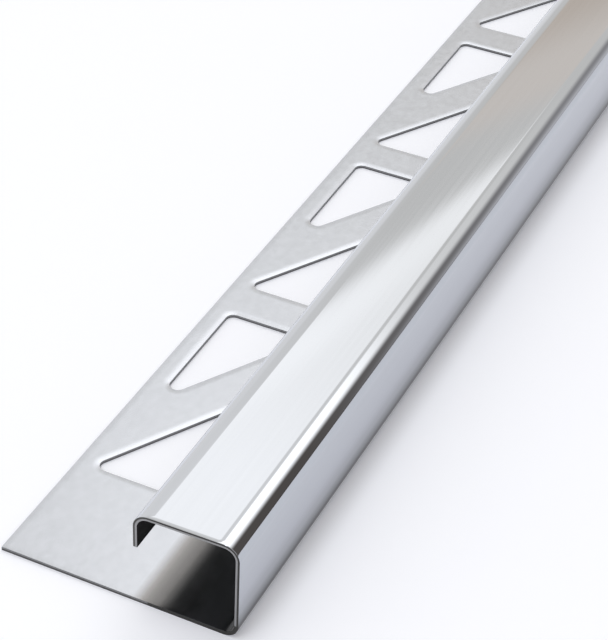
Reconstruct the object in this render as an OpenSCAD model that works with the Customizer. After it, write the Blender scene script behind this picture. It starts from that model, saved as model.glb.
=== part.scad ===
// Square-edge tile trim: one strip of stainless sheet, perforated along its
// anchoring flange and roll-formed into a box with a down-turned lip.

/* [Section] */
// Overall height, from the bed face of the flange to the crown of the top bend
height = 12.5; // [9:0.5:20]
// Width of the anchoring flange, from its free edge to the face of the lip
anchor_w = 16.05; // [12:0.05:25]
// Width of the box, from the face of the lip to the face of the wall
top_w = 12.1; // [9:0.05:18]
// Depth of the lip, from the sharp corner of the top down to its free edge
lip_d = 4.6; // [3.2:0.1:6]
// Fall of the top from the wall towards the lip, in degrees
top_fall = 1; // [0:0.1:6]
// Thickness of the sheet
sheet = 0.5; // [0.4:0.05:1]
// Inside radius of every bend
bend_r = 1.3; // [0.8:0.1:2]

/* [Stock] */
// Length of the cut piece
length = 1000; // [150:50:2500]

/* [Perforation] */
// Plain length from the front end to the first hole
end_plain = 15.6; // [4:0.05:40]
// Strip left between the holes and the free edge of the flange
edge_margin = 2.5; // [1.5:0.05:4]
// Strip left between the holes and the face of the lip
heel_margin = 3.35; // [1:0.05:5]
// Slant of a hole's long side, measured from its cross side, in degrees
slant = 60; // [45:1:70]
// Radius of a hole's corners
hole_r = 1; // [0.3:0.1:1.5]
// Width of the diagonal bridge between the two holes of a pair
bridge = 6.1; // [3:0.05:9]
// Width of the cross bridge between one pair and the next
cross_bridge = 6; // [3:0.05:9]

/* [Hidden] */
$fn = 48;
// How far the arc of a rounded corner grazes past the two sides, so that it always crosses them
graze = 0.0005;
// How far the waste of a corner reaches past the two sides, as a share of its radius
waste_over = 0.2;

// Outside radius of every bend
bend_out = bend_r + sheet;
overall_w = anchor_w + top_w;

// Outer face of the top and the inner one, a sheet below it, as heights over a place across the section
wall_z = height - bend_out + bend_out * tan((90 + top_fall) / 2);
function top_z(x) = wall_z - (overall_w - x) * tan(top_fall);
function under_z(x) = top_z(x) - sheet / cos(top_fall);
lip_z = top_z(anchor_w) - lip_d;
lip_in = anchor_w + sheet;
wall_in = overall_w - sheet;
// The hollow runs out under the lip as far as this
mouth_x = anchor_w - sheet;

// The section's outline with its box full, and the hollow of the box with its mouth, before they are rounded
outline_points = [
    [0, 0],
    [overall_w, 0],
    [overall_w, wall_z],
    [anchor_w, top_z(anchor_w)],
    [anchor_w, sheet],
    [0, sheet],
];
outline_bends = [1, 2, 3];
hollow_points = [
    [wall_in, sheet],
    [wall_in, under_z(wall_in)],
    [lip_in, under_z(lip_in)],
    [lip_in, lip_z],
    [mouth_x, lip_z],
    [mouth_x, sheet],
];
hollow_bends = [0, 1, 2];

// A hole is a right triangle whose rounded toe is level with the far side of the perforated band
band_w = anchor_w - edge_margin - heel_margin;
heel_x = edge_margin + band_w;
toe_trim = hole_r * (1 / tan(slant / 2) - 1);
hole_w = band_w + toe_trim;
hole_l = hole_w * tan(slant);
hole_points = [[heel_x, 0], [heel_x, hole_l], [heel_x - hole_w, 0]];
hole_corners = [0, 1, 2];

// A pair is a hole and the same hole turned half a turn, with the bridge between their long sides
pair_l = bridge / cos(slant) + 2 * hole_l - band_w * tan(slant);
pitch = pair_l + cross_bridge;
pairs = floor((length - end_plain - cross_bridge - pair_l) / pitch) + 1;

function unit(v) = v / norm(v);

// The piece between corner i of an outline and the arc of radius r that rounds it
module corner_waste(points, i, r) {
    n = len(points);
    back = unit(points[(i + n - 1) % n] - points[i]);
    ahead = unit(points[(i + 1) % n] - points[i]);
    half_angle = acos(back * ahead) / 2;
    to_centre = unit(back + ahead) * r / sin(half_angle);
    to_tangent = r / tan(half_angle);
    kite = [[0, 0], back * to_tangent - to_centre, -to_centre, ahead * to_tangent - to_centre];
    translate(points[i] + to_centre)
        difference() {
            polygon((1 + waste_over) * kite);
            circle(r + graze);
        }
}

// An outline with the listed corners rounded to radius r
module rounded(points, corners, r) {
    difference() {
        polygon(points);
        for (i = corners)
            corner_waste(points, i, r);
    }
}

// The formed strip's section: X runs across from the flange's free edge, and Y runs up
module section() {
    difference() {
        rounded(outline_points, outline_bends, bend_out);
        rounded(hollow_points, hollow_bends, bend_r);
    }
}

// One hole, with its cross side on y = 0 and its straight long side at the heel
module hole() {
    rounded(hole_points, hole_corners, hole_r);
}

module hole_pair() {
    hole();
    translate([edge_margin + heel_x, pair_l])
        rotate(180)
            hole();
}

// Cutters for every pair that leaves a whole cross bridge before the far end
module perforation() {
    for (i = [0 : 1 : pairs - 1])
        translate([0, end_plain + i * pitch, -sheet])
            linear_extrude(3 * sheet)
                hole_pair();
}

module edge_trim() {
    color("#cdd0d5")
        translate([-overall_w / 2, -length / 2, 0])
            difference() {
                translate([0, length, 0])
                    rotate([90, 0, 0])
                        linear_extrude(length)
                            section();
                perforation();
            }
}

edge_trim();
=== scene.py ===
"""Square-edge tile trim: a strip of stainless sheet, punched along its flange and rolled into a box."""

import math

import bpy
from bpy.props import FloatProperty, FloatVectorProperty, PointerProperty
from mathutils import Euler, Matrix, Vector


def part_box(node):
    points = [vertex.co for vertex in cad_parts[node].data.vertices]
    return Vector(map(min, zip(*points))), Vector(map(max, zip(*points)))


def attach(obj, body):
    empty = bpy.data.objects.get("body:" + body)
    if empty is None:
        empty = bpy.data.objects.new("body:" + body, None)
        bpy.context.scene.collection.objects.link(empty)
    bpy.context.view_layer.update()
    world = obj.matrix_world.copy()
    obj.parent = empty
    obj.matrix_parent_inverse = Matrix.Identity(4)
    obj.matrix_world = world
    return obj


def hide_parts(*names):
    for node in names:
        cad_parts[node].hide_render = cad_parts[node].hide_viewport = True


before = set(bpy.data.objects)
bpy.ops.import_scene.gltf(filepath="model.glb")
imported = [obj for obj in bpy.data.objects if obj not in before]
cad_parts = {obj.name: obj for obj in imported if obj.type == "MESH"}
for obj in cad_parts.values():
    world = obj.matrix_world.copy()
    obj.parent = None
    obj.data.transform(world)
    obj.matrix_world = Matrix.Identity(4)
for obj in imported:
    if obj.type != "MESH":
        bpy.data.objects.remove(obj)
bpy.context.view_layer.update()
CAD_LOW, CAD_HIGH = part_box("edge_trim")

bl_info = {
    "name": "Tile Edge Trim",
    "version": (1, 0, 0),
    "blender": (4, 5, 0),
    "location": "View3D > Sidebar > Edge Trim",
    "description": "Punches, rolls and finishes a length of stainless tile trim",
    "category": "Object",
}

MM = 0.001
PHOTO_LONG_SIDE = 640
SENSOR = 36.0
CLIP_START = 0.01

# What a face of the sheet is, as the tree marks it
BRIGHT_FACE, MILL_FACE, HOLLOW_SHADE_FACE, BURNISHED_EDGE, TORN_EDGE = range(5)
# Edges that turn by more than this are cut edges, and the others belong to bends
CUT_ANGLE = math.radians(57)
# Steps round a bend, round the turn into a lead-in, round a hole's corner and round each turn of a rim
BEND_STEPS = 28
LEAD_STEPS = 6
CORNER_STEPS = 12
RIM_STEPS = 8
# Cuts across a width that the shear or the slitter drew down
ROLL_CUTS = 3
# Segments of a softened edge, and how far big faces outweigh small ones in the normals beside it
SOFT_SEGMENTS = 2
FACE_WEIGHT = 100
# Points nearer than this are one point, in the rolled strip and in the whole trim
STRIP_WELD = 0.001 * MM
TRIM_WELD = 0.002 * MM
# Share of a rim's width that its bend takes up on either side of the rim's middle
RIM_BEND_SHARE = 0.45
# Share of the way down a rim within which a point lies on the rim's first or last loop
ON_LOOP = 0.001
# Span of the noise over which a grain's tone and gloss change
GRAIN_SPAN = (0.3, 0.7)

# Directions in the studio: towards the side wall and away from the unlit corner
TO_SIDE_WALL = (-1.0, 0.0, -0.6)
OFF_UNLIT_CORNER = (-0.96, 0.0, 0.28)
# Slant of the narrow softbox's outer edge, and the least that a ray rises towards the softboxes
STRIP_SLANT = -0.184
LEAST_RISE = 0.01


def linear(hex_colour):
    """Linear colour of an sRGB hex value."""
    channels = [int(hex_colour[i : i + 2], 16) / 255 for i in (1, 3, 5)]
    return tuple(c / 12.92 if c <= 0.04045 else ((c + 0.055) / 1.055) ** 2.4 for c in channels)


def add(tree, kind, links=None, **settings):
    """Adds a node with its settings; a link's value is a socket, a list of sockets or a constant."""
    node = tree.nodes.new(kind)
    for name, value in settings.items():
        setattr(node, name, value)
    for key, value in (links or {}).items():
        for source in value if isinstance(value, list) else [value]:
            if isinstance(source, bpy.types.NodeSocket):
                tree.links.new(source, node.inputs[key])
            else:
                node.inputs[key].default_value = source
    return node


def set_stops(ramp, stops):
    """Colour of a ramp with its stops set, each a place from 0 to 1 and a linear colour."""
    for place, _ in stops[1:-1]:
        ramp.color_ramp.elements.new(place)
    for stop, (place, colour) in zip(ramp.color_ramp.elements, stops):
        stop.position = place
        stop.color = (*colour, 1)
    return ramp.outputs[0]


class TrimSizes(bpy.types.PropertyGroup):
    """Sizes of the section, of its perforation and of its cut edges"""

    anchor_w: FloatProperty(
        name="Anchor Width", description="Flange from its free edge to the face of the lip",
        default=16.05 * MM, unit="LENGTH", precision=5)
    lip_d: FloatProperty(
        name="Lip Depth", description="Lip from the sharp corner of the top to its free edge",
        default=4.6 * MM, unit="LENGTH", precision=5)
    top_fall: FloatProperty(
        name="Top Fall", description="Fall of the top from the wall towards the lip",
        default=math.radians(1), unit="ROTATION")
    sheet: FloatProperty(
        name="Sheet", description="Thickness of the sheet",
        default=0.5 * MM, unit="LENGTH", precision=5)
    bend_r: FloatProperty(
        name="Bend Radius", description="Inside radius of every bend",
        default=1.3 * MM, unit="LENGTH", precision=5)
    wall_lead: FloatProperty(
        name="Wall Lead", description="Strip of the top beside the wall that leads into the bend",
        default=2.2 * MM, unit="LENGTH", precision=5)
    lip_lead: FloatProperty(
        name="Lip Lead", description="Strip of the top beside the lip that leads into the bend",
        default=2.2 * MM, unit="LENGTH", precision=5)
    lead_turn: FloatProperty(
        name="Lead Turn", description="How far the two strips turn down from the flat of the top",
        default=math.radians(2.4), unit="ROTATION")
    lead_r: FloatProperty(
        name="Lead Radius", description="Radius between the flat of the top and the two strips",
        default=16.0 * MM, unit="LENGTH", precision=5)
    end_plain: FloatProperty(
        name="End Plain", description="Plain length from the front end to the first hole",
        default=15.6 * MM, unit="LENGTH", precision=5)
    edge_margin: FloatProperty(
        name="Edge Margin", description="Strip between the holes and the free edge of the flange",
        default=2.5 * MM, unit="LENGTH", precision=5)
    heel_margin: FloatProperty(
        name="Heel Margin", description="Strip between the holes and the face of the lip",
        default=3.35 * MM, unit="LENGTH", precision=5)
    slant: FloatProperty(
        name="Slant", description="Slant of a hole's long side from its cross side",
        default=math.radians(60), unit="ROTATION")
    hole_r: FloatProperty(
        name="Hole Corner", description="Radius of a hole's corners",
        default=1.0 * MM, unit="LENGTH", precision=5)
    bridge: FloatProperty(
        name="Bridge", description="Diagonal bridge between the two holes of a pair",
        default=6.1 * MM, unit="LENGTH", precision=5)
    cross_bridge: FloatProperty(
        name="Cross Bridge", description="Cross bridge between one pair and the next",
        default=6.0 * MM, unit="LENGTH", precision=5)
    rim_w: FloatProperty(
        name="Rim Width", description="Width that the punch drew down along the rim of a hole",
        default=1.0 * MM, unit="LENGTH", precision=5)
    rim_d: FloatProperty(
        name="Rim Depth", description="Depth by which the punch drew down the rim of a hole",
        default=0.085 * MM, unit="LENGTH", precision=5)
    rim_soft: FloatProperty(
        name="Rim Softening", description="Radius of the corner where a rim meets the wall of its hole",
        default=0.04 * MM, unit="LENGTH", precision=5)
    tear_d: FloatProperty(
        name="Tear Depth", description="Height of the torn foot of a hole's wall",
        default=0.15 * MM, unit="LENGTH", precision=5)
    tear_out: FloatProperty(
        name="Tear Out", description="How much wider a hole is torn on each side of its foot",
        default=0.025 * MM, unit="LENGTH", precision=5)
    end_roll_w: FloatProperty(
        name="End Roll Width", description="Width that the shear drew down at the cut ends",
        default=0.6 * MM, unit="LENGTH", precision=5)
    slit_roll_w: FloatProperty(
        name="Slit Roll Width", description="Width that the slitter drew down along the flange's free edge",
        default=0.9 * MM, unit="LENGTH", precision=5)
    end_roll_d: FloatProperty(
        name="End Roll Depth", description="Depth by which the shear drew down the cut ends",
        default=0.02 * MM, unit="LENGTH", precision=5)
    slit_roll_d: FloatProperty(
        name="Slit Roll Depth", description="Depth by which the slitter drew down the flange's free edge",
        default=0.04 * MM, unit="LENGTH", precision=5)
    # Painted shade: where the darker torn finish on the flange's cut end under the box begins
    shade_start: FloatProperty(
        name="Shade Start", description="From the face of the lip to where the flange's cut end is oily",
        default=1.6 * MM, unit="LENGTH", precision=5)
    edge_soft: FloatProperty(
        name="Cut Edge Softening", description="Width of the softened corner along the cut edges",
        default=0.02 * MM, unit="LENGTH", precision=5)


class TrimFinish(bpy.types.PropertyGroup):
    """Colours of the sheet's faces and cut edges"""

    bright: FloatVectorProperty(
        name="Bright Face", description="Outer face, rolled bright",
        default=linear("#cdd0d5"), subtype="COLOR")
    mill: FloatVectorProperty(
        name="Mill Face", description="Inner face, with its satin mill finish",
        default=linear("#ced1d7"), subtype="COLOR")
    # Painted shade: a dark colour for the inner face inside the box, where the hollow lies in shade
    hollow_shade: FloatVectorProperty(
        name="Hollow Shade Face", description="Inner face inside the box, dulled as painted shade of the hollow",
        default=linear("#848485"), subtype="COLOR")
    burnished: FloatVectorProperty(
        name="Burnished Edge", description="Cut edge where the blade slid past",
        default=linear("#9a9a9b"), subtype="COLOR")
    torn: FloatVectorProperty(
        name="Torn Edge", description="Cut edge where the sheet broke away",
        default=linear("#62615f"), subtype="COLOR")


class TrimStage(bpy.types.PropertyGroup):
    """Camera, floor and studio light"""

    camera_place: FloatVectorProperty(
        name="Camera Place", description="Camera in the part's frame",
        default=(76.482 * MM, -628.036 * MM, 149.382 * MM), subtype="XYZ", unit="LENGTH")
    camera_turn: FloatVectorProperty(
        name="Camera Turn", description="Camera's rotation",
        default=tuple(math.radians(a) for a in (52.726, -2.154, 25.553)), subtype="EULER", unit="ROTATION")
    focal_pixels: FloatProperty(
        name="Focal Length", description="Focal length in pixels of the photograph's frame",
        default=2006.31)
    floor: FloatVectorProperty(
        name="Floor", description="Pale floor",
        default=linear("#f6f6f6"), subtype="COLOR")
    floor_w: FloatProperty(
        name="Floor Width", description="Side of the floor",
        default=12.0, unit="LENGTH")
    floor_gap: FloatProperty(
        name="Floor Gap", description="From the underside of the flange down to the floor",
        default=0.02 * MM, unit="LENGTH", precision=5)
    floor_glow: FloatVectorProperty(
        name="Floor Glow", description="What the floor adds to itself so that it shows as white",
        default=linear("#6a6b72"), subtype="COLOR")
    floor_light: FloatProperty(
        name="Floor Light", description="Radiance of the lamp over the front end, which lights the floor",
        default=3.6)
    lamp_place: FloatVectorProperty(
        name="Lamp Place", description="Middle of that lamp in the part's frame",
        default=(-0.158, -0.925, 1.2), subtype="XYZ", unit="LENGTH")
    lamp_size: FloatVectorProperty(
        name="Lamp Size", description="Width of that lamp across the part and along it",
        default=(0.255, 1.55), size=2, unit="LENGTH")
    lamp_tint: FloatVectorProperty(
        name="Lamp Tint", description="Colour of that lamp",
        default=linear("#f2f6ff"), subtype="COLOR")
    strip_light: FloatProperty(
        name="Strip Light", description="Radiance of the narrow softbox that the flat of the top shows",
        default=0.44)
    strip_edge: FloatProperty(
        name="Strip Edge", description="Extra radiance along the slanted edge of the narrow softbox",
        default=0.13)
    main_light: FloatProperty(
        name="Main Light", description="Radiance of the wide softbox that the wall's upper bend shows",
        default=0.7)
    main_end: FloatProperty(
        name="Main End", description="Radiance of the wide softbox that also reaches its far end",
        default=0.2)
    pale_side: FloatVectorProperty(
        name="Pale Side", description="Lit studio overhead and on the flange's side",
        default=linear("#fcfbfa"), subtype="COLOR")
    back_wall: FloatVectorProperty(
        name="Back Wall", description="Studio wall behind the part",
        default=linear("#e4e2de"), subtype="COLOR")
    back_warm: FloatVectorProperty(
        name="Back Warm", description="Lower part of the studio wall behind the part",
        default=linear("#ede4db"), subtype="COLOR")
    back_foot: FloatVectorProperty(
        name="Back Foot", description="Foot of that wall",
        default=linear("#dacdc0"), subtype="COLOR")
    front_side: FloatVectorProperty(
        name="Front Side", description="Lit studio in front of the part and beside it",
        default=linear("#d6d6d8"), subtype="COLOR")
    dark_side: FloatVectorProperty(
        name="Dark Side", description="Unlit corner of the studio behind the part, on the wall's side",
        default=linear("#5e5956"), subtype="COLOR")
    dim_side: FloatVectorProperty(
        name="Dim Side", description="Far end of that corner",
        default=linear("#9c9a9b"), subtype="COLOR")
    far_haze: FloatVectorProperty(
        name="Far Haze", description="Foot of that far end",
        default=linear("#d4d3d5"), subtype="COLOR")


def derived_sizes(sizes):
    """Inputs of the tree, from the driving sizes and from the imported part's box."""
    width = CAD_HIGH.x - CAD_LOW.x
    height = CAD_HIGH.z - CAD_LOW.z
    length = CAD_HIGH.y - CAD_LOW.y
    bend_out = sizes.bend_r + sizes.sheet
    wall_z = height - bend_out + bend_out * math.tan(math.radians(45) + sizes.top_fall / 2)
    lip_top = wall_z - (width - sizes.anchor_w) * math.tan(sizes.top_fall)
    crown_high = wall_z - sizes.wall_lead * math.tan(sizes.top_fall)
    crown_low = lip_top + sizes.lip_lead * math.tan(sizes.top_fall)
    wall_corner = crown_high - sizes.wall_lead * math.tan(sizes.lead_turn - sizes.top_fall)
    lip_corner = crown_low - sizes.lip_lead * math.tan(sizes.lead_turn + sizes.top_fall)
    band_w = sizes.anchor_w - sizes.edge_margin - sizes.heel_margin
    heel = sizes.edge_margin + band_w
    hole_w = band_w + sizes.hole_r * (1 / math.tan(sizes.slant / 2) - 1)
    hole_l = hole_w * math.tan(sizes.slant)
    pair_l = sizes.bridge / math.cos(sizes.slant) + 2 * hole_l - band_w * math.tan(sizes.slant)
    pitch = pair_l + sizes.cross_bridge
    pairs = math.floor((length - sizes.end_plain - sizes.cross_bridge - pair_l) / pitch) + 1
    band_front = sizes.end_plain - sizes.cross_bridge / 2
    rim_turn = math.atan2(sizes.rim_d, sizes.rim_w / 2)
    return {
        "Length": length,
        "Width": width,
        "Shift Across": CAD_LOW.x,
        "Shift Along": CAD_LOW.y,
        "Lip Face": sizes.anchor_w,
        "Wall Corner": -wall_corner,
        "Crown Wall Side": width - sizes.wall_lead,
        "Crown High": -crown_high,
        "Crown Lip Side": sizes.anchor_w + sizes.lip_lead,
        "Crown Low": -crown_low,
        "Lead Radius": sizes.lead_r,
        "Lip Corner": -lip_corner,
        "Lip End": sizes.lip_d - lip_top,
        "Sheet": sizes.sheet,
        "Half Sheet": sizes.sheet / 2,
        "Bend Radius": bend_out,
        "Box Foot": bend_out / 2,
        "Shade Start": sizes.anchor_w + sizes.shade_start,
        "Slit Roll": sizes.slit_roll_w,
        "End Roll": sizes.end_roll_w,
        "End Roll Start": length - sizes.end_roll_w,
        "End Roll Depth": sizes.end_roll_d,
        "Slit Roll Depth": sizes.slit_roll_d,
        "Band Start": sizes.edge_margin / 2,
        "Band End": sizes.anchor_w - sizes.heel_margin / 2,
        "Band Front": band_front,
        "Band Back": band_front + pairs * pitch,
        "Pitch": pitch,
        "Pairs": pairs,
        "Pitch Cuts": pairs - 1,
        "Hole Toe": heel - hole_w,
        "Hole Heel": heel,
        "Hole Front": sizes.cross_bridge / 2,
        "Hole Far": sizes.cross_bridge / 2 + hole_l,
        "Hole Corner": sizes.hole_r,
        "Half Turn Across": sizes.edge_margin + heel,
        "Rim Width": sizes.rim_w,
        "Rim Middle": sizes.rim_w / 2,
        "Rim Top": -sizes.sheet,
        "Rim Low": sizes.rim_d - sizes.sheet,
        "Rim Bend": RIM_BEND_SHARE * sizes.rim_w / math.tan(rim_turn / 2),
        "Rim Corner": sizes.rim_soft,
        "Rim Foot": sizes.sheet - sizes.rim_d,
        "Tear Top": sizes.tear_d,
        "Tear Start": -sizes.tear_d,
        "Tear Out": sizes.tear_out,
    }


def coordinates(tree):
    """X, Y and Z of the places where a field is read."""
    place = add(tree, "GeometryNodeInputPosition").outputs[0]
    return add(tree, "ShaderNodeSeparateXYZ", {0: place}).outputs


def per_point(tree, values, data_type):
    """Field that gives each point of a line its own value."""
    node = add(tree, "GeometryNodeIndexSwitch", data_type=data_type)
    for _ in range(len(values) - len(node.index_switch_items)):
        node.index_switch_items.new()
    tree.links.new(add(tree, "GeometryNodeInputIndex").outputs[0], node.inputs[0])
    for i, value in enumerate(values):
        if isinstance(value, bpy.types.NodeSocket):
            tree.links.new(value, node.inputs[i + 1])
        else:
            node.inputs[i + 1].default_value = value
    return node.outputs[0]


def line_through(tree, points):
    """Curve through points whose coordinates are sockets or constants."""
    line = add(tree, "GeometryNodeMeshLine", {"Count": len(points)}).outputs[0]
    corners = [add(tree, "ShaderNodeCombineXYZ", {0: x, 1: y, 2: 0.0}).outputs[0] for x, y in points]
    places = per_point(tree, corners, "VECTOR")
    placed = add(tree, "GeometryNodeSetPosition", {0: line, "Position": places}).outputs[0]
    return add(tree, "GeometryNodeMeshToCurve", {0: placed}).outputs[0]


def where_all(tree, tests, chosen=True):
    """Selection of what passes every test: each is an operation and the two values that it compares."""
    for operation, a, b in tests:
        passed = add(tree, "FunctionNodeCompare", {0: a, 1: b}, operation=operation).outputs[0]
        chosen = add(tree, "FunctionNodeBooleanMath", {0: passed, 1: chosen}, operation="AND").outputs[0]
    return chosen


def marked(tree, mesh, finish, selection=True):
    """Mesh with the finish of its selected faces noted."""
    return add(
        tree, "GeometryNodeStoreNamedAttribute",
        {0: mesh, "Selection": selection, "Name": "finish", "Value": finish},
        data_type="INT", domain="FACE").outputs[0]


def at_depth(tree, mesh, depth, selection=True):
    """Mesh with its selected points noted as lying at a depth in the sheet: 0 outer face, 1 inner face."""
    return add(
        tree, "GeometryNodeStoreNamedAttribute",
        {0: mesh, "Selection": selection, "Name": "depth", "Value": depth},
        data_type="FLOAT", domain="POINT").outputs[0]


def rolled_sheet(tree, size):
    """The formed strip: the section swept along the length as its outer face, then thickened inwards."""
    sharp = (0.0, 1)
    bend = (size["Bend Radius"], BEND_STEPS)
    lead = (size["Lead Radius"], LEAD_STEPS)
    corners = [
        (0.0, 0.0, sharp),
        (size["Slit Roll"], 0.0, sharp),
        (size["Band Start"], 0.0, sharp),
        (size["Band End"], 0.0, sharp),
        (size["Shade Start"], 0.0, sharp),
        (size["Width"], 0.0, bend),
        (size["Width"], size["Wall Corner"], bend),
        (size["Crown Wall Side"], size["Crown High"], lead),
        (size["Crown Lip Side"], size["Crown Low"], lead),
        (size["Lip Face"], size["Lip Corner"], bend),
        (size["Lip Face"], size["Lip End"], sharp),
    ]
    line = line_through(tree, [(across, up) for across, up, _ in corners])
    radii, steps = zip(*(rounding for _, _, rounding in corners))
    section = add(
        tree, "GeometryNodeFilletCurve",
        {0: line, "Count": per_point(tree, steps, "INT"), "Radius": per_point(tree, radii, "FLOAT")},
        mode="POLY").outputs[0]
    cuts = per_point(tree, [ROLL_CUTS, 0], "INT")
    section = add(tree, "GeometryNodeSubdivideCurve", {0: section, "Cuts": cuts}).outputs[0]

    stations = ["End Roll", "Band Front", "Band Back", "End Roll Start", "Length"]
    length = line_through(tree, [(0.0, 0.0)] + [(0.0, size[name]) for name in stations])
    cuts = per_point(tree, [ROLL_CUTS, 0, size["Pitch Cuts"], 0, ROLL_CUTS, 0], "INT")
    length = add(tree, "GeometryNodeSubdivideCurve", {0: length, "Cuts": cuts}).outputs[0]
    length = add(tree, "GeometryNodeSetCurveNormal", {0: length}, mode="Z_UP").outputs[0]
    outer = add(tree, "GeometryNodeCurveToMesh", {0: length, 1: section}).outputs[0]
    outer = add(
        tree, "GeometryNodeStoreNamedAttribute",
        {0: outer, "Name": "inward", "Value": add(tree, "GeometryNodeInputNormal").outputs[0]},
        data_type="FLOAT_VECTOR", domain="POINT").outputs[0]
    outer = at_depth(tree, outer, 0.0)

    half = size["Half Sheet"]
    first = add(
        tree, "GeometryNodeExtrudeMesh", {0: outer, "Offset Scale": half, "Individual": False}).outputs
    torn = marked(tree, first["Mesh"], TORN_EDGE, first["Side"])
    torn = at_depth(tree, torn, 0.5, first["Top"])
    second = add(
        tree, "GeometryNodeExtrudeMesh",
        {0: torn, "Selection": first["Top"], "Offset Scale": half, "Individual": False}).outputs
    x, _, z = coordinates(tree)
    # Inside the box the inner face takes the painted shade of the hollow
    in_box = where_all(tree, [("GREATER_THAN", z, size["Box Foot"])], second["Top"])
    # Under the box the inner half of the flange's cut end takes the darker torn finish: painted shade
    in_corner = [("LESS_THAN", z, size["Bend Radius"]), ("GREATER_THAN", x, size["Shade Start"])]
    shaded = where_all(tree, in_corner, second["Side"])
    inner = marked(tree, second["Mesh"], BURNISHED_EDGE, second["Side"])
    inner = marked(tree, inner, MILL_FACE, second["Top"])
    inner = marked(tree, inner, HOLLOW_SHADE_FACE, in_box)
    inner = marked(tree, inner, TORN_EDGE, shaded)
    inner = at_depth(tree, inner, 1.0, second["Top"])
    flipped = add(tree, "GeometryNodeFlipFaces", {0: outer}).outputs[0]
    bright = marked(tree, flipped, BRIGHT_FACE)
    both = add(tree, "GeometryNodeJoinGeometry", {0: [bright, inner]}).outputs[0]
    return add(tree, "GeometryNodeMergeByDistance", {0: both, "Distance": STRIP_WELD}).outputs[0]


def drawn_down(tree, solid, size):
    """The strip with its exposed faces drawn down towards the cut ends and the flange's slit edge.

    Its cut edges are marked for softening.
    """
    x, y, z = coordinates(tree)
    depth = add(tree, "GeometryNodeInputNamedAttribute", {"Name": "depth"}, data_type="FLOAT").outputs[0]
    inward = add(
        tree, "GeometryNodeInputNamedAttribute", {"Name": "inward"}, data_type="FLOAT_VECTOR").outputs[0]
    slopes = [
        (y, size["End Roll"], 0.0),
        (y, size["End Roll Start"], size["Length"]),
        (x, size["Slit Roll"], 0.0),
    ]
    shares = []
    for place, start, edge in slopes:
        share = add(
            tree, "ShaderNodeMapRange",
            {"Value": place, "From Min": start, "From Max": edge, "To Min": 0.0, "To Max": 1.0}).outputs[0]
        shares.append(add(tree, "ShaderNodeMath", {0: share, 1: 2.0}, operation="POWER").outputs[0])
    ends = add(tree, "ShaderNodeMath", {0: shares[0], 1: shares[1]}, operation="ADD").outputs[0]
    slit = add(tree, "ShaderNodeMath", {0: shares[2], 1: depth}, operation="MULTIPLY").outputs[0]
    drop = add(
        tree, "ShaderNodeMath", {0: ends, 1: size["End Roll Depth"]}, operation="MULTIPLY").outputs[0]
    drop = add(
        tree, "ShaderNodeMath", {0: slit, 1: size["Slit Roll Depth"], 2: drop},
        operation="MULTIPLY_ADD").outputs[0]
    on_box = where_all(tree, [("GREATER_THAN", z, size["Box Foot"])])
    side = add(
        tree, "ShaderNodeMapRange",
        {"Value": depth, "From Min": 0.0, "From Max": 1.0, "To Min": on_box, "To Max": -1.0}).outputs[0]
    amount = add(tree, "ShaderNodeMath", {0: drop, 1: side}, operation="MULTIPLY").outputs[0]
    offset = add(tree, "ShaderNodeVectorMath", {0: inward, "Scale": amount}, operation="SCALE").outputs[0]
    drawn_strip = add(tree, "GeometryNodeSetPosition", {0: solid, "Offset": offset}).outputs[0]

    turn = add(tree, "GeometryNodeInputMeshEdgeAngle").outputs["Unsigned Angle"]
    cut = where_all(tree, [("GREATER_THAN", turn, CUT_ANGLE)])
    return add(
        tree, "GeometryNodeStoreNamedAttribute",
        {0: drawn_strip, "Name": "bevel_weight_edge", "Value": cut},
        data_type="FLOAT", domain="EDGE").outputs[0]


def without_band(tree, solid, size):
    """The strip with the faces taken out where the punched lengths of flange go."""
    x, y, _ = coordinates(tree)
    inside = where_all(
        tree,
        [
            ("GREATER_THAN", x, size["Band Start"]),
            ("LESS_THAN", x, size["Band End"]),
            ("GREATER_THAN", y, size["Band Front"]),
            ("LESS_THAN", y, size["Band Back"]),
        ])
    return add(
        tree, "GeometryNodeDeleteGeometry", {0: solid, "Selection": inside}, domain="FACE").outputs[0]


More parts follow.
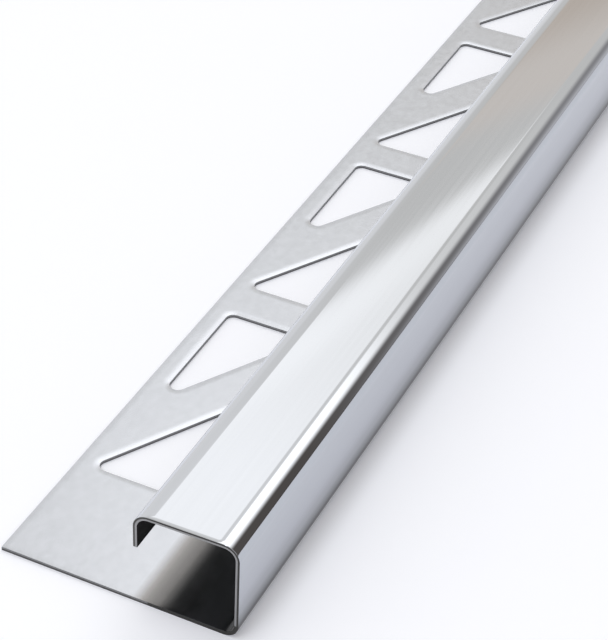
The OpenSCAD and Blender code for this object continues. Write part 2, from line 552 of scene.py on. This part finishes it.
def punched_pitch(tree, size):
    """One pitch of the flange's band: its two faces round a pair of holes, and the holes' rims."""
    triangle = line_through(
        tree,
        [
            (size["Hole Heel"], size["Hole Front"]),
            (size["Hole Heel"], size["Hole Far"]),
            (size["Hole Toe"], size["Hole Front"]),
        ])
    triangle = add(tree, "GeometryNodeSetSplineCyclic", {0: triangle, "Cyclic": True}).outputs[0]
    hole = add(
        tree, "GeometryNodeFilletCurve", {0: triangle, "Count": CORNER_STEPS, "Radius": size["Hole Corner"]},
        mode="POLY").outputs[0]
    move = add(tree, "ShaderNodeCombineXYZ", {0: size["Half Turn Across"], 1: size["Pitch"]}).outputs[0]
    half_turn = Euler((0, 0, math.pi))
    turned = add(
        tree, "GeometryNodeTransform", {0: hole, "Translation": move, "Rotation": half_turn}).outputs[0]
    holes = add(tree, "GeometryNodeJoinGeometry", {0: [hole, turned]}).outputs[0]
    holes = add(tree, "GeometryNodeSetCurveNormal", {0: holes}, mode="Z_UP").outputs[0]

    # Across a rim: drawn down by the punch, then straight, then torn and wider
    rim = line_through(
        tree,
        [
            (size["Rim Width"], size["Rim Top"]),
            (size["Rim Middle"], size["Rim Top"]),
            (0.0, size["Rim Low"]),
            (0.0, size["Tear Start"]),
            (size["Tear Out"], 0.0),
        ])
    rim_radii = per_point(tree, [0.0, size["Rim Bend"], size["Rim Corner"], 0.0, 0.0], "FLOAT")
    rim = add(
        tree, "GeometryNodeFilletCurve", {0: rim, "Count": RIM_STEPS, "Radius": rim_radii},
        mode="POLY").outputs[0]
    way_down = add(tree, "GeometryNodeSplineParameter").outputs["Factor"]
    rim = add(
        tree, "GeometryNodeStoreNamedAttribute", {0: rim, "Name": "down_the_rim", "Value": way_down},
        data_type="FLOAT", domain="POINT").outputs[0]
    rims = add(tree, "GeometryNodeCurveToMesh", {0: holes, 1: rim}).outputs[0]
    rims = add(tree, "GeometryNodeFlipFaces", {0: rims}).outputs[0]

    outline_corners = {
        "Point 1": (size["Band Start"], 0.0),
        "Point 2": (size["Band End"], 0.0),
        "Point 3": (size["Band End"], size["Pitch"]),
        "Point 4": (size["Band Start"], size["Pitch"]),
    }
    outline_places = {
        key: add(tree, "ShaderNodeCombineXYZ", {0: x, 1: y}).outputs[0]
        for key, (x, y) in outline_corners.items()
    }
    outline = add(
        tree, "GeometryNodeCurvePrimitiveQuadrilateral", outline_places, mode="POINTS").outputs[0]
    down_the_rim = add(
        tree, "GeometryNodeInputNamedAttribute", {"Name": "down_the_rim"}, data_type="FLOAT").outputs[0]
    faces = []
    for test, limit, height, finish in (
        ("LESS_THAN", ON_LOOP, size["Sheet"], MILL_FACE),
        ("GREATER_THAN", 1 - ON_LOOP, 0.0, BRIGHT_FACE),
    ):
        on_loop = where_all(tree, [(test, down_the_rim, limit)])
        loops = add(tree, "GeometryNodeMeshToCurve", {0: rims, "Selection": on_loop}).outputs[0]
        joined = add(tree, "GeometryNodeJoinGeometry", {0: [outline, loops]}).outputs[0]
        flat = add(tree, "GeometryNodeFillCurve", {0: joined}, mode="TRIANGLES").outputs[0]
        if finish == BRIGHT_FACE:
            flat = add(tree, "GeometryNodeFlipFaces", {0: flat}).outputs[0]
        lift = add(tree, "ShaderNodeCombineXYZ", {2: height}).outputs[0]
        flat = add(tree, "GeometryNodeTransform", {0: flat, "Translation": lift}).outputs[0]
        faces.append(marked(tree, flat, finish))

    _, _, z = coordinates(tree)
    rims = marked(tree, rims, MILL_FACE)
    for foot, finish in (("Rim Foot", BURNISHED_EDGE), ("Tear Top", TORN_EDGE)):
        rims = marked(tree, rims, finish, where_all(tree, [("LESS_THAN", z, size[foot])]))
    return add(tree, "GeometryNodeJoinGeometry", {0: faces + [rims]}).outputs[0]


def trim_tree(inputs, finishes):
    """Geometry nodes that punch and roll the whole trim; every size is a named input."""
    tree = bpy.data.node_groups.new("punched_and_rolled_trim", "GeometryNodeTree")
    for name, value in inputs.items():
        kind = "NodeSocketInt" if isinstance(value, int) else "NodeSocketFloat"
        tree.interface.new_socket(name, in_out="INPUT", socket_type=kind)
    tree.interface.new_socket("Trim", in_out="OUTPUT", socket_type="NodeSocketGeometry")
    size = add(tree, "NodeGroupInput").outputs

    strip = without_band(tree, drawn_down(tree, rolled_sheet(tree, size), size), size)
    start = add(tree, "ShaderNodeCombineXYZ", {1: size["Band Front"]}).outputs[0]
    step = add(tree, "ShaderNodeCombineXYZ", {1: size["Pitch"]}).outputs[0]
    stations = add(
        tree, "GeometryNodeMeshLine",
        {"Count": size["Pairs"], "Start Location": start, "Offset": step}).outputs[0]
    pitch = punched_pitch(tree, size)
    pitches = add(tree, "GeometryNodeInstanceOnPoints", {0: stations, "Instance": pitch}).outputs[0]
    whole = add(tree, "GeometryNodeJoinGeometry", {0: [strip, pitches]}).outputs[0]
    whole = add(tree, "GeometryNodeRealizeInstances", {0: whole}).outputs[0]
    whole = add(tree, "GeometryNodeMergeByDistance", {0: whole, "Distance": TRIM_WELD}).outputs[0]
    shift = add(tree, "ShaderNodeCombineXYZ", {0: size["Shift Across"], 1: size["Shift Along"]}).outputs[0]
    whole = add(tree, "GeometryNodeTransform", {0: whole, "Translation": shift}).outputs[0]

    # Cut edges that aren't marked for softening stay sharp in the shading
    whole = add(tree, "GeometryNodeSetShadeSmooth", {0: whole}).outputs[0]
    turn = add(tree, "GeometryNodeInputMeshEdgeAngle").outputs["Unsigned Angle"]
    cut = where_all(tree, [("GREATER_THAN", turn, CUT_ANGLE)])
    soft = add(
        tree, "GeometryNodeInputNamedAttribute", {"Name": "bevel_weight_edge"},
        data_type="FLOAT").outputs[0]
    hard = add(tree, "FunctionNodeBooleanMath", {0: cut, 1: soft}, operation="NIMPLY").outputs[0]
    whole = add(
        tree, "GeometryNodeSetShadeSmooth", {0: whole, "Selection": hard, "Shade Smooth": False},
        domain="EDGE").outputs[0]

    finish = add(tree, "GeometryNodeInputNamedAttribute", {"Name": "finish"}, data_type="INT").outputs[0]
    for mark, material in finishes.items():
        here = add(
            tree, "FunctionNodeCompare", {2: finish, 3: mark},
            data_type="INT", operation="EQUAL").outputs[0]
        whole = add(
            tree, "GeometryNodeSetMaterial", {0: whole, "Selection": here, "Material": material}).outputs[0]
    add(tree, "NodeGroupOutput", {0: whole})
    return tree


def new_material(name):
    """Empty material and its tree."""
    material = bpy.data.materials.new(name)
    material.use_nodes = True
    material.node_tree.nodes.clear()
    return material, material.node_tree


def stainless(name, colour, tone, roughness, gloss_spread, grain, relief, darkened=None):
    """Stainless surface whose tone, gloss and relief follow one grain, given as its size along X, Y and Z.

    It may be darkened along one axis, which the finishes use for painted shade: the axis, then places on it
    and the colours laid over the surface there.
    The grain, the relief and the places are in millimetres.
    """
    material, tree = new_material(name)
    place = add(tree, "ShaderNodeTexCoord").outputs["Object"]
    scale = tuple(1 / (width * MM) for width in grain)
    scaled = add(tree, "ShaderNodeMapping", {"Vector": place, "Scale": scale}).outputs[0]
    noise = add(tree, "ShaderNodeTexNoise", {"Vector": scaled, "Scale": 1.0}).outputs[0]
    gloss = add(
        tree, "ShaderNodeMapRange",
        {"Value": noise, "From Min": GRAIN_SPAN[0], "From Max": GRAIN_SPAN[1],
         "To Min": roughness - gloss_spread, "To Max": roughness + gloss_spread}).outputs[0]
    shades = (tuple(c * (1 - tone) for c in colour), tuple(colour))
    surface = set_stops(add(tree, "ShaderNodeValToRGB", {0: noise}), list(zip(GRAIN_SPAN, shades)))
    if darkened:
        axis, veil = darkened
        first, last = veil[0][0], veil[-1][0]
        stops = [((at - first) / (last - first), linear(shade)) for at, shade in veil]
        along = add(
            tree, "ShaderNodeMapRange",
            {"Value": add(tree, "ShaderNodeSeparateXYZ", {0: place}).outputs[axis],
             "From Min": first * MM, "From Max": last * MM}).outputs[0]
        over = set_stops(add(tree, "ShaderNodeValToRGB", {0: along}), stops)
        surface = add(
            tree, "ShaderNodeMix", {0: 1.0, 6: surface, 7: over},
            data_type="RGBA", blend_type="MULTIPLY").outputs[2]
    bump = add(
        tree, "ShaderNodeBump", {"Height": noise, "Strength": 1.0, "Distance": relief * MM}).outputs[0]
    shader = add(
        tree, "ShaderNodeBsdfPrincipled",
        {"Base Color": surface, "Metallic": 1.0, "Roughness": gloss, "Normal": bump})
    add(tree, "ShaderNodeOutputMaterial", {0: shader.outputs[0]})
    return material


def sheet_finishes(colours):
    """Material of each kind of face."""
    return {
        # Stainless strip from polished rolls: nearly a mirror, with faint lines drawn along the strip. Its
        # colour is darkened as painted shade: strongly along the foot of the wall and a little on the wall
        # and the lip below the top, a painted reflection of the shadowed floor beside them
        BRIGHT_FACE: stainless(
            "bright_rolled_stainless", colours.bright, tone=0.02, roughness=0.04, gloss_spread=0.01,
            grain=(0.5, 40, 0.5), relief=0.0002,
            darkened=("Z", [
                (0.0, "#ffffff"), (0.4, "#505050"), (1.7, "#505050"), (2.5, "#b3b3b4"), (3.5, "#d8d8da"),
                (5.5, "#e9e9ec"), (10.9, "#ecedef"), (11.62, "#e9eaec"), (11.8, "#ffffff")])),
        # The strip's other face as it left the mill: satin, with a fine pebbled grain drawn coarse enough to
        # show, and darkened as painted shade where the flange runs into the box and towards the foot of the
        # wall
        MILL_FACE: stainless(
            "mill_finish_stainless", colours.mill, tone=0.05, roughness=0.25, gloss_spread=0.02,
            grain=(0.9, 1.2, 0.9), relief=0.0004,
            darkened=("X", [
                (1.7, "#ffffff"), (2.95, "#c4bfb9"), (3.45, "#b0aca6"), (4.2, "#a19d98"), (4.9, "#a09c97"),
                (6.2, "#747371"), (6.9, "#7e7e7d"), (8.0, "#959594"), (12.0, "#959594"),
                (12.8, "#525252")])),
        # That face inside the box, painted dark as the shade of the hollow: dark and soft, with the grain
        # nearly gone
        HOLLOW_SHADE_FACE: stainless(
            "hollow_shade_stainless", colours.hollow_shade, tone=0.15, roughness=0.42, gloss_spread=0.05,
            grain=(2.2, 3.2, 2.2), relief=0.0004),
        # Cut edge that slid along the blade: smooth, marked across the thickness, darker on the flange as a
        # painted reflection of the shadowed floor in front of it
        BURNISHED_EDGE: stainless(
            "burnished_stainless_edge", colours.burnished, tone=0.1, roughness=0.38, gloss_spread=0.05,
            grain=(0.15, 0.15, 0.6), relief=0.003,
            darkened=("Z", [(0.5, "#dedede"), (2.0, "#ffffff")])),
        # Cut edge that broke away: dull, with its grain drawn coarse enough to show, darker on the box
        TORN_EDGE: stainless(
            "torn_stainless_edge", colours.torn, tone=0.2, roughness=0.55, gloss_spread=0.08,
            grain=(0.12, 0.12, 0.12), relief=0.01,
            darkened=("X", [(2.0, "#ffffff"), (5.0, "#cccccc")])),
    }


class TRIM_OT_form_trim(bpy.types.Operator):
    """Punch the flange, roll the section and finish the sheet"""

    bl_idname = "trim.form_trim"
    bl_label = "Form Trim"

    def execute(self, context):
        sizes = context.scene.trim_sizes
        inputs = derived_sizes(sizes)
        tree = trim_tree(inputs, sheet_finishes(context.scene.trim_finish))
        sheet = bpy.data.objects.new("trim_sheet", bpy.data.meshes.new("trim_sheet"))
        context.scene.collection.objects.link(sheet)
        forming = sheet.modifiers.new("forming", "NODES")
        forming.node_group = tree
        for item in tree.interface.items_tree:
            if item.in_out == "INPUT":
                forming[item.identifier] = inputs[item.name]
        softening = sheet.modifiers.new("softened_edges", "BEVEL")
        softening.width = sizes.edge_soft
        softening.segments = SOFT_SEGMENTS
        softening.limit_method = "WEIGHT"
        shading = sheet.modifiers.new("flat_faces", "WEIGHTED_NORMAL")
        shading.weight = FACE_WEIGHT
        shading.keep_sharp = True
        graph = context.evaluated_depsgraph_get()
        mesh = bpy.data.meshes.new_from_object(
            sheet.evaluated_get(graph), preserve_all_data_layers=True, depsgraph=graph)
        sheet.modifiers.clear()
        sheet.data = mesh
        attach(sheet, "root")
        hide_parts("edge_trim")
        return {"FINISHED"}


def pale_floor(stage):
    """Wide pale floor, which shows as white away from the part and keeps the part's shadow."""
    half = stage.floor_w / 2
    sides = [(-half, -half), (half, -half), (half, half), (-half, half)]
    mesh = bpy.data.meshes.new("floor")
    mesh.from_pydata([(x, y, -stage.floor_gap) for x, y in sides], [], [(0, 1, 2, 3)])
    material, tree = new_material("pale_floor")
    path = add(tree, "ShaderNodeLightPath").outputs
    seen = 0.0
    for ray in ("Is Camera Ray", "Is Glossy Ray", "Is Transmission Ray"):
        seen = add(tree, "ShaderNodeMath", {0: path[ray], 1: seen}, operation="MAXIMUM").outputs[0]
    matt = add(tree, "ShaderNodeBsdfDiffuse", {"Color": (*stage.floor, 1)}).outputs[0]
    glow = add(tree, "ShaderNodeEmission", {"Color": (*stage.floor_glow, 1), "Strength": 1.0}).outputs[0]
    glowing = add(tree, "ShaderNodeAddShader", {0: matt, 1: glow}).outputs[0]
    surface = add(tree, "ShaderNodeMixShader", {0: seen, 1: matt, 2: glowing}).outputs[0]
    add(tree, "ShaderNodeOutputMaterial", {0: surface})
    mesh.materials.append(material)
    floor = bpy.data.objects.new("floor", mesh)
    bpy.context.scene.collection.objects.link(floor)


def floor_lamp(stage):
    """Level lamp over the front end that lights the floor; it isn't seen itself."""
    data = bpy.data.lights.new("floor_lamp", "AREA")
    data.shape = "RECTANGLE"
    data.size, data.size_y = stage.lamp_size
    data.color = stage.lamp_tint
    data.energy = math.pi * data.size * data.size_y * stage.floor_light
    lamp = bpy.data.objects.new("floor_lamp", data)
    lamp.location = stage.lamp_place
    lamp.visible_camera = False
    bpy.context.scene.collection.objects.link(lamp)


def soft_patch(tree, edges):
    """Share that is 1 inside a patch: each edge is a value, where the patch is off and where it is on."""
    share = 1.0
    for value, off, on in edges:
        inside = add(
            tree, "ShaderNodeMapRange", {"Value": value, "From Min": off, "From Max": on},
            interpolation_type="SMOOTHSTEP").outputs[0]
        share = add(tree, "ShaderNodeMath", {0: inside, 1: share}, operation="MULTIPLY").outputs[0]
    return share


def layered(tree, colour, layers):
    """Colour with others laid over it in turn, each on a soft patch that is given by its edges."""
    for over, edges in layers:
        share = soft_patch(tree, edges)
        colour = add(tree, "ShaderNodeMix", {0: share, 6: colour, 7: over}, data_type="RGBA").outputs[2]
    return colour


def studio_world(stage):
    """Lit studio with one unlit corner behind the part, on the wall's side, and two softboxes overhead."""
    world = bpy.data.worlds.new("studio")
    world.use_nodes = True
    tree = world.node_tree
    tree.nodes.clear()
    way = add(tree, "ShaderNodeTexCoord").outputs["Generated"]
    x, y, z = add(tree, "ShaderNodeSeparateXYZ", {0: way}).outputs
    sideways, off_corner = [
        add(tree, "ShaderNodeVectorMath", {0: way, 1: direction}, operation="DOT_PRODUCT").outputs["Value"]
        for direction in (TO_SIDE_WALL, OFF_UNLIT_CORNER)
    ]

    # Lit walls: the back wall falls off towards its warm foot, and the side wall stays pale
    wall, pale, warm = stage.back_wall, stage.pale_side, stage.back_warm
    back = set_stops(
        add(tree, "ShaderNodeValToRGB", {0: y}), [(0.5, wall), (0.63, pale), (0.67, pale), (0.775, wall)])
    low = add(tree, "ShaderNodeMath", {0: y, 1: sideways}, operation="ADD").outputs[0]
    foot = set_stops(
        add(tree, "ShaderNodeValToRGB", {0: low}),
        [(0.783, wall), (0.796, warm), (0.812, warm), (0.834, stage.back_foot)])
    lit = layered(
        tree, back,
        [
            (foot, [(sideways, 0.02, -0.01), (y, 0.775, 0.785)]),
            ((*pale, 1), [(sideways, -0.02, 0.35)]),
        ])

    # The unlit corner with its hazy foot, the lit walls beside it and the lit studio in front
    unlit = set_stops(
        add(tree, "ShaderNodeValToRGB", {0: y}), [(0.69, stage.dark_side), (0.83, stage.dim_side)])
    colour = layered(
        tree, unlit,
        [
            ((*stage.far_haze, 1), [(z, 0.45, 0.0), (y, 0.7, 0.83)]),
            (lit, [(off_corner, -0.25, 0.2)]),
            ((*stage.front_side, 1), [(y, 0.45, 0.1)]),
        ])

    # Softboxes: where a ray meets a level ceiling at unit height
    up = add(tree, "ShaderNodeMath", {0: z, 1: LEAST_RISE}, operation="MAXIMUM").outputs[0]
    across = add(tree, "ShaderNodeMath", {0: x, 1: up}, operation="DIVIDE").outputs[0]
    along = add(tree, "ShaderNodeMath", {0: y, 1: up}, operation="DIVIDE").outputs[0]
    slanted = add(
        tree, "ShaderNodeMath", {0: along, 1: STRIP_SLANT, 2: across}, operation="MULTIPLY_ADD").outputs[0]
    strip_outer = (slanted, -0.812, -0.794)
    strip_inner = (across, -0.486, -0.498)
    main_sides = [(across, -0.440, -0.426), (across, 0.9, 0.05), (along, 0.3, 0.45)]
    softboxes = [
        (stage.strip_light, [strip_outer, strip_inner, (along, 0.84, 0.9), (along, 1.75, 1.45)]),
        (stage.strip_edge, [strip_outer, (slanted, -0.755, -0.785), strip_inner, (along, 1.0, 1.2)]),
        (stage.main_light, main_sides + [(y, 0.765, 0.70)]),
        (stage.main_end, main_sides + [(y, 0.845, 0.76)]),
    ]
    for radiance, edges in softboxes:
        colour = add(
            tree, "ShaderNodeVectorMath", {0: (radiance,) * 3, 1: soft_patch(tree, edges), 2: colour},
            operation="MULTIPLY_ADD").outputs[0]
    background = add(tree, "ShaderNodeBackground", {"Color": colour, "Strength": 1.0})
    add(tree, "ShaderNodeOutputWorld", {0: background.outputs[0]})
    bpy.context.scene.world = world


class TRIM_OT_set_stage(bpy.types.Operator):
    """Set the floor, the light and the camera"""

    bl_idname = "trim.set_stage"
    bl_label = "Set Stage"

    def execute(self, context):
        scene = context.scene
        stage = scene.trim_stage
        scene.view_settings.view_transform = "Standard"
        pale_floor(stage)
        studio_world(stage)
        floor_lamp(stage)
        data = bpy.data.cameras.new("photo_camera")
        data.sensor_width = SENSOR
        data.lens = SENSOR * stage.focal_pixels / PHOTO_LONG_SIDE
        data.clip_start = CLIP_START
        camera = bpy.data.objects.new("photo_camera", data)
        camera.location = stage.camera_place
        camera.rotation_euler = stage.camera_turn
        scene.collection.objects.link(camera)
        scene.camera = camera
        return {"FINISHED"}


class TRIM_PT_panel(bpy.types.Panel):
    """Sidebar panel of the trim"""

    bl_idname = "TRIM_PT_panel"
    bl_label = "Edge Trim"
    bl_space_type = "VIEW_3D"
    bl_region_type = "UI"
    bl_category = "Edge Trim"

    def draw(self, context):
        for group in (context.scene.trim_sizes, context.scene.trim_finish, context.scene.trim_stage):
            for name in group.__annotations__:
                self.layout.prop(group, name)
        self.layout.operator(TRIM_OT_form_trim.bl_idname)
        self.layout.operator(TRIM_OT_set_stage.bl_idname)


CLASSES = (TrimSizes, TrimFinish, TrimStage, TRIM_OT_form_trim, TRIM_OT_set_stage, TRIM_PT_panel)


def register():
    for cls in CLASSES:
        bpy.utils.register_class(cls)
    bpy.types.Scene.trim_sizes = PointerProperty(type=TrimSizes)
    bpy.types.Scene.trim_finish = PointerProperty(type=TrimFinish)
    bpy.types.Scene.trim_stage = PointerProperty(type=TrimStage)


def unregister():
    del bpy.types.Scene.trim_sizes
    del bpy.types.Scene.trim_finish
    del bpy.types.Scene.trim_stage
    for cls in reversed(CLASSES):
        bpy.utils.unregister_class(cls)


def main():
    register()
    bpy.ops.trim.form_trim()
    bpy.ops.trim.set_stage()


if __name__ == "__main__":
    main()
